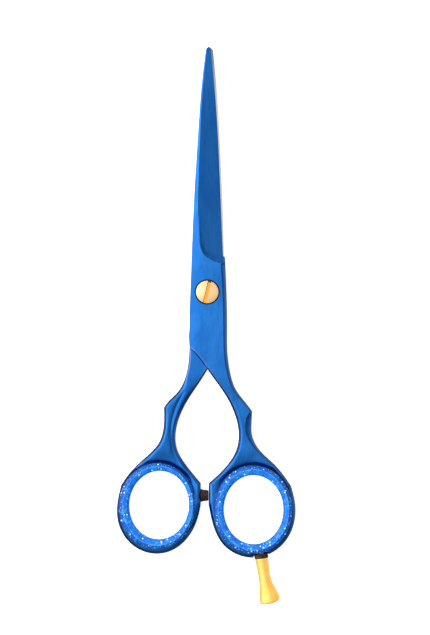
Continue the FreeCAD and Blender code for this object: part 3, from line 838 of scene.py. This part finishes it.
def screw_profile():
    """Radius and height down the screw: the head's underside, the shaft and the thread."""
    head, shaft, thread = SCREW_HIGH[0], SHAFT_HOLE_RADIUS - HOLE_GAP, THREAD_HOLE_RADIUS - HOLE_GAP
    washer = WASHER_HIGH[2]
    profile = [(head, washer + 0.08), (head - 0.08, washer), (shaft, washer), (shaft, RIDE_Z + 0.15),
               (thread, RIDE_Z + INNER_H)]
    for turn in range(THREAD_TURNS):
        crest = RIDE_Z - 0.25 - THREAD_PITCH * turn
        profile += [(thread, crest), (thread - THREAD_DEPTH, crest - 0.2),
                    (thread - THREAD_DEPTH, crest - 0.26), (thread, crest - 0.44)]
    return profile + [(thread, 0.22), (thread - 0.2, 0.0)]


def pivot_screw(material):
    """Slotted head, plain shaft and a threaded end with its grooves."""
    build = Build()
    radius = SCREW_HIGH[0]
    slot_lines = [SLOT_HALF_WIDTH - SLOT_SHADE, SLOT_HALF_WIDTH, SLOT_HALF_WIDTH + SLOT_WALL]
    upright = math.pi / 2 - SLOT_ANGLE
    angles = list(np.linspace(0, 2 * math.pi, 120, endpoint=False))
    for offset in slot_lines:
        lean = math.asin(offset / radius)
        angles += [(turn + sign * lean) % (2 * math.pi) for turn in (upright, upright + math.pi)
                   for sign in (-1, 1)]
    angles = np.array(sorted(angles))
    rim_circle = radius * np.stack([np.cos(angles), np.sin(angles)], 1)
    run = np.linspace(-radius, radius, 60)[:, None]
    rows = [run * ALONG_SLOT + sign * offset * ACROSS_SLOT for offset in slot_lines for sign in (-1, 1)]
    rows += [circle_points(radius - gap, count=110) for gap in (0.07, 0.16, 0.28, 0.5)]
    points, triangles, (edge,) = triangulate([rim_circle], rows, spacing=0.4)
    across = across_slot(points)
    in_slot = np.abs(across) < SLOT_HALF_WIDTH + 0.02
    # The slot's floor gets the orange painted shade. Its left wall strip and its upper end get near black
    # painted shadow.
    marks = np.where(in_slot, SLOT_SHADE_MARK, np.linalg.norm(points, axis=1))
    far_end = smoothstep(radius - SLOT_END[0], radius - SLOT_END[1], points @ ALONG_SLOT) * SLOT_END_SHADE
    shades = np.where(across < -SLOT_HALF_WIDTH + 0.5 * SLOT_SHADE, 1.0, far_end) * in_slot
    top = build.add(at_height(points, head_height(points)), marks, shades)
    build.add_faces(top[triangles])
    previous = top[edge]
    for r, z in screw_profile():
        current = build.add(at_height(rim_circle * r / radius, z), r)
        build.bridge(previous, current)
        previous = current
    build.add_faces([previous])
    place(build.finish("pivot_screw_turned", 30, [material]), "tension_screw", "pivot_screw")


def screw_washer(material):
    """A flat ring with a softened outer edge."""
    low, high, outer = WASHER_LOW[2], WASHER_HIGH[2], WASHER_HIGH[0] + 0.07
    inner = SHAFT_HOLE_RADIUS + 0.01
    profile = [(low, inner), (low, outer - 0.08), (low + 0.08, outer), (high - 0.1, outer),
               (high - 0.03, outer - 0.04), (high, outer - 0.12), (high, inner)]
    build = Build()
    build.loft(turned(profile, (0, 0, 0), (0, 0, 1), (1, 0, 0), 96), closed=True)
    place(build.finish("screw_washer_turned", 30, [material]), "finger_half", "screw_washer")


def bumper(material):
    """A rubber stop: a stem inside the ring, a foot bead, a slightly waisted body and a rounded end."""
    base, end = THUMB_OUTLINE["flat"][-1][0], BUMPER_HIGH[0]
    y = (BUMPER_LOW[1] + BUMPER_HIGH[1]) / 2
    profile = [(base - 1.6, 0.5), (base - 1.45, 0.85), (base - 0.05, 0.88), (base, 1.3), (base, 1.95),
               (base + 0.07, 2.06), (base + 0.2, 2.09), (base + 0.36, 2.05), (base + 0.46, 1.95),
               (base + 0.6, 1.9), (base + 1.0, 1.84), (base + 1.5, 1.8), (base + 1.9, 1.79)]
    profile += rounded_corner(end, 1.74, 0.42)
    profile += [(end, 0.9), (end - 0.12, 0.72), (end - 0.16, 0.4)]
    build = Build()
    build.loft(turned(profile, (0, y, RIDE_Z), (1, 0, 0), (0, 1, 0), 72))
    place(build.finish("bumper_rubber", 35, [material]), "thumb_half", "bumper")


# ---- finger rest

# A band of painted shade along the rest, a deeper orange down one side of it: where across it, how wide (both
# as shares of its half width), how deep.
REST_SHADE_BAND_AT, REST_SHADE_BAND_WIDTH, REST_SHADE_BAND_DEPTH = 0.22, 0.22, 0.5
# The end is rounded over, slanted and domed. The slant and the dome grow from these distances on.
REST_ROUNDING = 0.75
REST_SLANT_FROM, REST_DOME_FROM = 6.5, 9.0
REST_DOME_RADIUS = 3.2


def rest_plan():
    """Distances along the rest, each with how far the section has shrunk there."""
    plan = [(distance, 0.0) for distance in np.linspace(0, REST_LENGTH - REST_ROUNDING, 46)]
    plan += [(REST_LENGTH - REST_ROUNDING * (1 - math.sin(t)), REST_ROUNDING * (1 - math.cos(t)))
             for t in np.linspace(0.12, math.pi / 2 - 0.02, 9)]
    return plan + [(REST_LENGTH, REST_ROUNDING + inward) for inward in (0.5, 1.2, 1.45)]


def finger_rest(material):
    """A waisted trumpet with a bead at its collar, cut off at a slant and rounded over at the end."""
    origin, along, across = rest_axes()
    table = np.array(REST_SECTIONS)
    angle = np.linspace(0, 2 * math.pi, 96, endpoint=False)
    rings = turned([(0.95, 1.0), (0.95, 1.18), (REST_WASHER, 1.18)], origin, along, across, 96)
    marks = [np.zeros(len(angle))] * len(rings)
    # Painted shade band round the rest, carried by the marks to the gold's deeper orange.
    shade_band = np.exp(-((np.cos(angle) - REST_SHADE_BAND_AT) / REST_SHADE_BAND_WIDTH) ** 2)
    soft = smooth_curve([(d, w) for d, w, _, _ in REST_SECTIONS], 0.05)
    for distance, shrink in rest_plan():
        half_width = np.interp(distance, soft[:, 0], soft[:, 1])
        half_thickness = np.interp(distance, table[:, 0], table[:, 2])
        shift = np.interp(distance, table[:, 0], table[:, 3])
        collar = 0.1 * math.exp(-((distance - 0.45) / 0.3) ** 2) - 0.14 * math.exp(-(distance / 0.16) ** 2)
        side = shift + (half_width + collar - shrink) * np.cos(angle)
        up = (half_thickness + collar - shrink * 0.98) * np.sin(angle)
        slant = side * REST_SLANT * smoothstep(REST_SLANT_FROM, REST_LENGTH - REST_ROUNDING, distance)
        dome = REST_END_DOME * (1 - ((side - shift) / REST_DOME_RADIUS) ** 2)
        slant = slant - dome * smoothstep(REST_DOME_FROM, REST_LENGTH - REST_ROUNDING, distance)
        rings.append(origin + along * (REST_WASHER + distance - slant)[:, None] + across * side[:, None]
                     + np.array([0, 0, 1.0]) * up[:, None])
        marks.append(-REST_SHADE_BAND_DEPTH * shade_band)
    build = Build()
    build.loft(rings, marks)
    place(build.finish("finger_rest_trumpet", 35, [material]), "finger_rest", "finger_rest")


def rest_washer(material):
    """A rubber washer with rounded edges and a shallow groove round it."""
    origin, along, across = rest_axes()
    thick, outer, inner = REST_WASHER, 2.25, 1.26
    profile = [(0.0, inner), (0.0, outer - 0.2), (0.06, outer - 0.07), (0.2, outer), (0.5, outer),
               (0.62, outer - 0.06), (0.78, outer - 0.06), (0.9, outer), (thick - 0.2, outer),
               (thick - 0.06, outer - 0.07), (thick, outer - 0.2), (thick, inner)]
    build = Build()
    build.loft(turned(profile, origin, along, across, 84), closed=True)
    place(build.finish("finger_rest_washer_rubber", 35, [material]), "finger_half", "finger_rest_washer")


# ---- materials

BLACK = (0.0, 0.0, 0.0)
# The blue coat: its cloudy ground and its streaks, a paler painted sheen along the rims, and the painted
# shade of the seams and the counterbore.
COAT_DEEP = (0.024, 0.245, 0.87)
COAT_CLEAR = (0.038, 0.30, 1.0)
COAT_STREAK = (0.04, 0.29, 0.90)
COAT_EDGE_SHEEN = (0.18, 0.33, 0.80)
COAT_PAINTED_SHADE = (0.004, 0.005, 0.012)
# Distances from a rim at which its painted sheen begins and is full.
EDGE_SHEEN_FROM = 1.0
EDGE_SHEEN_FULL = 0.1
# Bare ground steel, between two greys, and blued by heat towards the tip.
BARE_DARK = (0.80, 0.77, 0.82)
BARE_LIGHT = (0.90, 0.86, 0.90)
BARE_BLUED = (0.27, 0.35, 0.52)
BLUED_Y = (56 * MM, 80 * MM)
# Painted shade on the gold: a deeper orange on the slot's floor and in a band along the rest, and near black
# painted shadow in the corners of the slot.
PAINTED_GOLD_SHADE = (1.0, 0.36, 0.06)
PAINTED_SLOT_SHADOW = (0.05, 0.012, 0.004)
# The inserts' colours with painted light, from the finger hole out to the lip's edge. They are bright where
# light comes through beside the hole, with a painted highlight on the lip's crest, painted shade over the
# steel and a painted contact shadow at the edge.
PLASTIC_PAINTED_LIGHT = [(0.0, (0.01, 0.07, 0.35)), (0.04, (0.004, 0.16, 0.62)), (0.2, (0.002, 0.21, 0.74)),
                 (0.5, (0.002, 0.22, 0.72)), (0.56, (0.04, 0.32, 0.75)), (0.6, (0.08, 0.34, 0.72)),
                 (0.66, (0.004, 0.09, 0.36)), (0.9, (0.003, 0.075, 0.28)), (1.0, (0.001, 0.015, 0.08))]
PLASTIC_SWIRL = (0.001, 0.07, 0.56)
PLASTIC_LIGHT = (0.02, 0.40, 0.90)
FLECK_WHITE = (0.95, 0.97, 1.0)
FLECK_CYAN = (0.35, 0.95, 1.0)
FLECK_SMALL = (0.45, 0.7, 1.0)
# Bump distances in metres.
WAVE_BUMP = 0.00025
LINE_BUMP = 0.000004
PLASTIC_BUMP = 0.00004
GRAIN_BUMP = 0.00003


def new_material(name):
    material = bpy.data.materials.new(name)
    material.use_nodes = True
    return material, material.node_tree, material.node_tree.nodes["Principled BSDF"]


def put(tree, socket, value):
    """Set a socket to a number, a vector or a colour, or link another node's output to it."""
    if isinstance(value, bpy.types.NodeSocket):
        tree.links.new(value, socket)
    elif isinstance(value, tuple) and len(value) < len(socket.default_value):
        socket.default_value = (*value, 1.0)
    else:
        socket.default_value = value


def put_all(tree, node, values):
    for name, value in values.items():
        put(tree, node.inputs[name], value)


def node_of(tree, kind, values=None, **settings):
    """A new node with its settings and the values of its sockets."""
    node = tree.nodes.new(kind)
    for name, setting in settings.items():
        setattr(node, name, setting)
    put_all(tree, node, values or {})
    return node


def remap(tree, source, low, high, to_low=0.0, to_high=1.0):
    """A number moved from one range to another on an S curve, held at the ends."""
    values = {"From Min": low, "From Max": high, "To Min": to_low, "To Max": to_high, "Value": source}
    return node_of(tree, "ShaderNodeMapRange", values, interpolation_type="SMOOTHSTEP").outputs["Result"]


def mix_colour(tree, factor, first, second):
    """Two colours mixed; each may be a colour or a socket."""
    return node_of(tree, "ShaderNodeMix", {6: first, 7: second, 0: factor}, data_type="RGBA").outputs[2]


def combine(tree, operation, first, second):
    return node_of(tree, "ShaderNodeMath", {0: first, 1: second}, operation=operation).outputs[0]


def times(tree, first, second):
    return combine(tree, "MULTIPLY", first, second)


def ramp(tree, source, stops, interpolation="LINEAR"):
    """Colours along a number from 0 to 1, as pairs (place, colour)."""
    node = node_of(tree, "ShaderNodeValToRGB", {"Fac": source})
    node.color_ramp.interpolation = interpolation
    elements = node.color_ramp.elements
    while len(elements) < len(stops):
        elements.new(0.5)
    for element, (place_at, colour) in zip(elements, stops):
        element.position = place_at
        element.color = (*colour, 1.0)
    return node.outputs["Color"]


def position(tree, stretch=(1.0, 1.0, 1.0)):
    """Object coordinates in metres, stretched by a factor on each axis."""
    coordinates = node_of(tree, "ShaderNodeTexCoord").outputs["Object"]
    return node_of(tree, "ShaderNodeMapping", {"Scale": stretch, "Vector": coordinates}).outputs["Vector"]


def noise(tree, scale, detail=3.0, stretch=(1.0, 1.0, 1.0), roughness=0.5):
    values = {"Scale": scale, "Detail": detail, "Roughness": roughness, "Vector": position(tree, stretch)}
    return node_of(tree, "ShaderNodeTexNoise", values).outputs["Fac"]


def bump(tree, shader, heights):
    """Chained bumps, each a (height socket, strength, distance in metres)."""
    normal = {}
    for height, strength, distance in heights:
        node = node_of(tree, "ShaderNodeBump",
                       {"Strength": strength, "Distance": distance, "Height": height, **normal})
        normal = {"Normal": node.outputs["Normal"]}
    put_all(tree, shader, normal)


def carried(tree, name):
    """A number carried by the vertices: mark or shade."""
    return node_of(tree, "ShaderNodeAttribute", attribute_name=name).outputs["Fac"]


def blue_steel():
    """Mirror-polished steel under a blue coat, with a paler painted sheen along the rims and painted shade in
    the seams and the counterbore.
    """
    material, tree, shader = new_material("blue_steel")
    cloud = remap(tree, noise(tree, 70, 3.0, (2.2, 1.0, 1.0)), 0.35, 0.65)
    coat = mix_colour(tree, cloud, COAT_DEEP, COAT_CLEAR)
    streak = remap(tree, noise(tree, 420, 2.0, (1.0, 0.12, 1.0)), 0.3, 0.75)
    coat = mix_colour(tree, times(tree, streak, 0.35), coat, COAT_STREAK)
    # Painted sheen: the coat turns paler and violet near the rims, following each vertex's mark.
    coat = mix_colour(tree, remap(tree, carried(tree, "mark"), EDGE_SHEEN_FROM, EDGE_SHEEN_FULL), coat, COAT_EDGE_SHEEN)
    # Painted shade: near black where the vertices' shade is high, in the seam round the lip and in the
    # counterbore.
    put_all(tree, shader, {"Base Color": mix_colour(tree, carried(tree, "shade"), coat, COAT_PAINTED_SHADE),
                           "Metallic": 1.0,
                           "Roughness": remap(tree, noise(tree, 300), 0.3, 0.7, 0.09, 0.16)})
    wave = noise(tree, 170, 2.0, (1.6, 0.7, 1.0))
    grain = noise(tree, 5200, 2.0, (1.0, 0.2, 1.0))
    bump(tree, shader, [(wave, 1.0, WAVE_BUMP), (grain, 0.15, LINE_BUMP)])
    return material


def bare_steel():
    """Ground steel of the inner faces: fine lines across the blade, blued by heat towards the tip."""
    material, tree, shader = new_material("bare_steel")
    split = node_of(tree, "ShaderNodeSeparateXYZ", {0: position(tree)})
    heat = remap(tree, split.outputs["Y"], *BLUED_Y)
    lines = noise(tree, 2600, 3.0, (0.12, 1.0, 0.12))
    tone = mix_colour(tree, remap(tree, lines, 0.3, 0.7), BARE_DARK, BARE_LIGHT)
    put_all(tree, shader, {"Base Color": mix_colour(tree, heat, tone, BARE_BLUED), "Metallic": 1.0,
                           "Roughness": remap(tree, lines, 0.3, 0.7, 0.12, 0.2)})
    bump(tree, shader, [(lines, 0.1, LINE_BUMP)])
    return material


def gold(name, base, pale, rough, lines_stretch, metallic, painted_glow, painted_glow_colour):
    """Gold-coloured metal with faint turning or brushing lines. It has a deeper orange painted shade in its
    recesses and bands, near black painted shadow in the slot's corners, and a painted glow.
    """
    material, tree, shader = new_material(name)
    lines = noise(tree, 1500, 2.0, lines_stretch)
    tone = mix_colour(tree, remap(tree, noise(tree, 240, 2.0), 0.3, 0.7), base, pale)
    # Painted shade: deeper orange where the mark is negative, on the slot's floor and in the rest's band.
    tone = mix_colour(tree, remap(tree, carried(tree, "mark"), -0.2, -0.8), tone, PAINTED_GOLD_SHADE)
    corner = carried(tree, "shade")
    # Painted shadow: near black in the slot's corners, where the vertices' shade is high.
    tone = mix_colour(tree, corner, tone, PAINTED_SLOT_SHADOW)
    # Painted glow: the gold gives off light of its own so that it looks brightly lit, and it is dark in the
    # slot's painted shadow.
    painted_glow_tint = mix_colour(tree, 0.75, tone, painted_glow_colour)
    put_all(tree, shader, {"Base Color": tone, "Emission Color": mix_colour(tree, corner, painted_glow_tint, BLACK),
                           "Emission Strength": painted_glow, "Metallic": metallic,
                           "Roughness": remap(tree, lines, 0.3, 0.7, rough - 0.03, rough + 0.05)})
    bump(tree, shader, [(lines, 0.06, LINE_BUMP)])
    return material


def flecks(tree, scale, reach, share, shift):
    """Round flecks in a share of the cells of a pattern: where they are, and a number for each."""
    shifted = node_of(tree, "ShaderNodeVectorMath", {0: position(tree), 1: (shift, shift * 0.7, shift * 1.3)},
                      operation="ADD")
    cells = node_of(tree, "ShaderNodeTexVoronoi", {"Scale": scale, "Vector": shifted.outputs[0]})
    near = remap(tree, cells.outputs["Distance"], reach, reach * 0.6)
    pick = node_of(tree, "ShaderNodeSeparateColor", {0: cells.outputs["Color"]})
    return times(tree, near, combine(tree, "LESS_THAN", pick.outputs[0], share)), pick.outputs[1]


def glitter_plastic():
    """Translucent blue plastic with flecks, its light painted: bright where light comes through, dim with
    painted shade over the steel, and a painted glow.
    """
    material, tree, shader = new_material("glitter_plastic")
    painted_light_bands = ramp(tree, carried(tree, "mark"), PLASTIC_PAINTED_LIGHT)
    swirl = remap(tree, noise(tree, 520, 4.0, roughness=0.65), 0.36, 0.66)
    body = mix_colour(tree, times(tree, swirl, 0.75), painted_light_bands, PLASTIC_SWIRL)
    light = remap(tree, noise(tree, 640, 3.0, roughness=0.6), 0.54, 0.68)
    body = mix_colour(tree, times(tree, light, 0.45), body, PLASTIC_LIGHT)
    large, tint = flecks(tree, 1000, 0.29, 0.28, 0.0)
    small, _ = flecks(tree, 2200, 0.33, 0.3, 0.013)
    body = mix_colour(tree, times(tree, small, 0.7), body, FLECK_SMALL)
    colour = mix_colour(tree, large, body, mix_colour(tree, tint, FLECK_WHITE, FLECK_CYAN))
    # Painted glow: the plastic gives off its own colour so that it looks lit through.
    put_all(tree, shader, {"Base Color": colour, "Emission Color": colour, "Emission Strength": 0.3,
                           "Roughness": 0.16, "IOR": 1.49})
    bump(tree, shader, [(noise(tree, 700, 2.0), 0.15, PLASTIC_BUMP)])
    return material


def dark_plastic(name, base, pale, rough, grain):
    """Rubber or nylon: near black with a slight bloom and a fine grain."""
    material, tree, shader = new_material(name)
    bloom = remap(tree, noise(tree, 600, 4.0), 0.42, 0.7)
    put_all(tree, shader, {"Base Color": mix_colour(tree, bloom, base, pale),
                           "Roughness": remap(tree, noise(tree, 1500), 0.3, 0.7, rough - 0.08, rough + 0.08)})
    bump(tree, shader, [(noise(tree, grain, 3.0), 0.4, GRAIN_BUMP)])
    return material


# ---- stage, light and camera

VIEW_CENTRE = (2.52 * MM, -8.25 * MM)
VIEW_HEIGHT = 205.4 * MM
LENS = 200.0
SENSOR = 36.0
FLOOR_REACH = 6.0
FLOOR_Z = -0.2 * MM
# Brightness of the studio by direction, as pairs (component towards +X or +Y, brightness).
SIDEWAYS = [(-1.0, 0.6), (-0.95, 1.15), (-0.82, 1.5), (-0.68, 1.05), (-0.3, 0.92), (0.0, 0.7), (0.26, 0.5),
            (0.53, 0.38), (0.8, 0.22), (1.0, 0.24)]
FORWARD = [(-1.0, 0.4), (-0.5, 0.45), (-0.2, 0.76), (0.0, 1.0), (0.3, 0.95), (0.7, 0.85), (1.0, 0.7)]
# Brightness below the horizon, on the left and on the right.
LOW_LEFT = 0.22
LOW_RIGHT = 0.36


def floor():
    """A wide white sheet just under the shears."""
    mesh = bpy.data.meshes.new("floor")
    reach = FLOOR_REACH
    mesh.from_pydata([(-reach, -reach, 0), (reach, -reach, 0), (reach, reach, 0), (-reach, reach, 0)], [],
                     [(0, 1, 2, 3)])
    material, tree, shader = new_material("floor")
    put_all(tree, shader, {"Base Color": mix_colour(tree, noise(tree, 3.0), (0.88, 0.88, 0.88),
                                                    (0.92, 0.92, 0.92)),
                           "Roughness": 0.9, "Emission Color": (1.0, 1.0, 1.0), "Emission Strength": 0.85})
    mesh.materials.append(material)
    piece = bpy.data.objects.new("floor", mesh)
    piece.location.z = FLOOR_Z
    piece.visible_glossy = False
    bpy.context.scene.collection.objects.link(piece)


def brightness(tree, component, stops):
    """Brightness by one component of the direction, from -1 to 1."""
    share = combine(tree, "ADD", times(tree, component, 0.5), 0.5)
    return ramp(tree, share, [(at * 0.5 + 0.5, (value,) * 3) for at, value in stops], "EASE")


def tent():
    """A soft tent of light: bright on the left, mid above, dim on the right, darker at the horizon."""
    world = bpy.data.worlds.new("studio")
    bpy.context.scene.world = world
    world.use_nodes = True
    tree = world.node_tree
    direction = node_of(tree, "ShaderNodeTexCoord").outputs["Generated"]
    x, y, z = node_of(tree, "ShaderNodeSeparateXYZ", {0: direction}).outputs
    high = times(tree, brightness(tree, x, SIDEWAYS), brightness(tree, y, FORWARD))
    low = times(tree, remap(tree, x, -0.2, 0.4, LOW_LEFT, LOW_RIGHT), remap(tree, y, -0.6, 0.0, 0.35, 1.0))
    rise = times(tree, combine(tree, "SUBTRACT", high, low), remap(tree, z, -0.05, 0.25))
    strength = combine(tree, "ADD", rise, low)
    seen_directly = node_of(tree, "ShaderNodeLightPath").outputs["Is Camera Ray"]
    put_all(tree, tree.nodes["Background"], {"Color": (1.0, 1.0, 1.0),
                                             "Strength": combine(tree, "MAXIMUM", strength, seen_directly)})


def key_light():
    """A broad soft light from the left and above."""
    sun = bpy.data.lights.new("key", "SUN")
    sun.energy = 2.2
    sun.angle = math.radians(30)
    lamp = bpy.data.objects.new("key", sun)
    lamp.rotation_euler = (math.radians(-20), math.radians(-35), 0)
    lamp.visible_glossy = False
    bpy.context.scene.collection.objects.link(lamp)


def camera():
    """Looks straight down, from so far that VIEW_HEIGHT fills the height of the picture."""
    data = bpy.data.cameras.new("camera")
    data.lens = LENS
    data.sensor_width = SENSOR
    data.sensor_fit = "AUTO"
    data.clip_start = 0.01
    data.clip_end = 50.0
    lens_distance = VIEW_HEIGHT * LENS / SENSOR
    eye = bpy.data.objects.new("camera", data)
    eye.location = (VIEW_CENTRE[0], VIEW_CENTRE[1], lens_distance + RIDE_Z * MM)
    bpy.context.scene.collection.objects.link(eye)
    bpy.context.scene.camera = eye
    bpy.context.scene.view_settings.view_transform = "Standard"
    bpy.context.scene.view_settings.look = "None"


# ---- assembly

steel = [blue_steel(), bare_steel()]
finger_half(steel)
thumb_half(steel)
glitter = glitter_plastic()
insert("finger_insert_ring", FINGER_HOLE, FINGER_LIP, "finger_half", "finger_insert", glitter)
insert("thumb_insert_ring", THUMB_HOLE, THUMB_LIP, "thumb_half", "thumb_insert", glitter)
pivot_screw(gold("gold_screw", base=(1.0, 0.76, 0.44), pale=(1.0, 0.86, 0.60), rough=0.22,
                 lines_stretch=(0.3, 1.0, 0.3), metallic=0.9, painted_glow=0.52, painted_glow_colour=(1.0, 0.42, 0.07)))
rubber = dark_plastic("dark_rubber", (0.022, 0.014, 0.011), (0.06, 0.045, 0.04), 0.5, 2500)
screw_washer(dark_plastic("black_nylon", (0.008, 0.008, 0.01), (0.02, 0.02, 0.022), 0.55, 4000))
bumper(rubber)
finger_rest(gold("gold_rest", base=(1.0, 0.66, 0.14), pale=(1.0, 0.74, 0.24), rough=0.28,
                 lines_stretch=(1.0, 0.25, 1.0), metallic=0.85, painted_glow=0.6, painted_glow_colour=(1.0, 0.48, 0.09)))
rest_washer(rubber)
floor()
tent()
key_light()
camera()
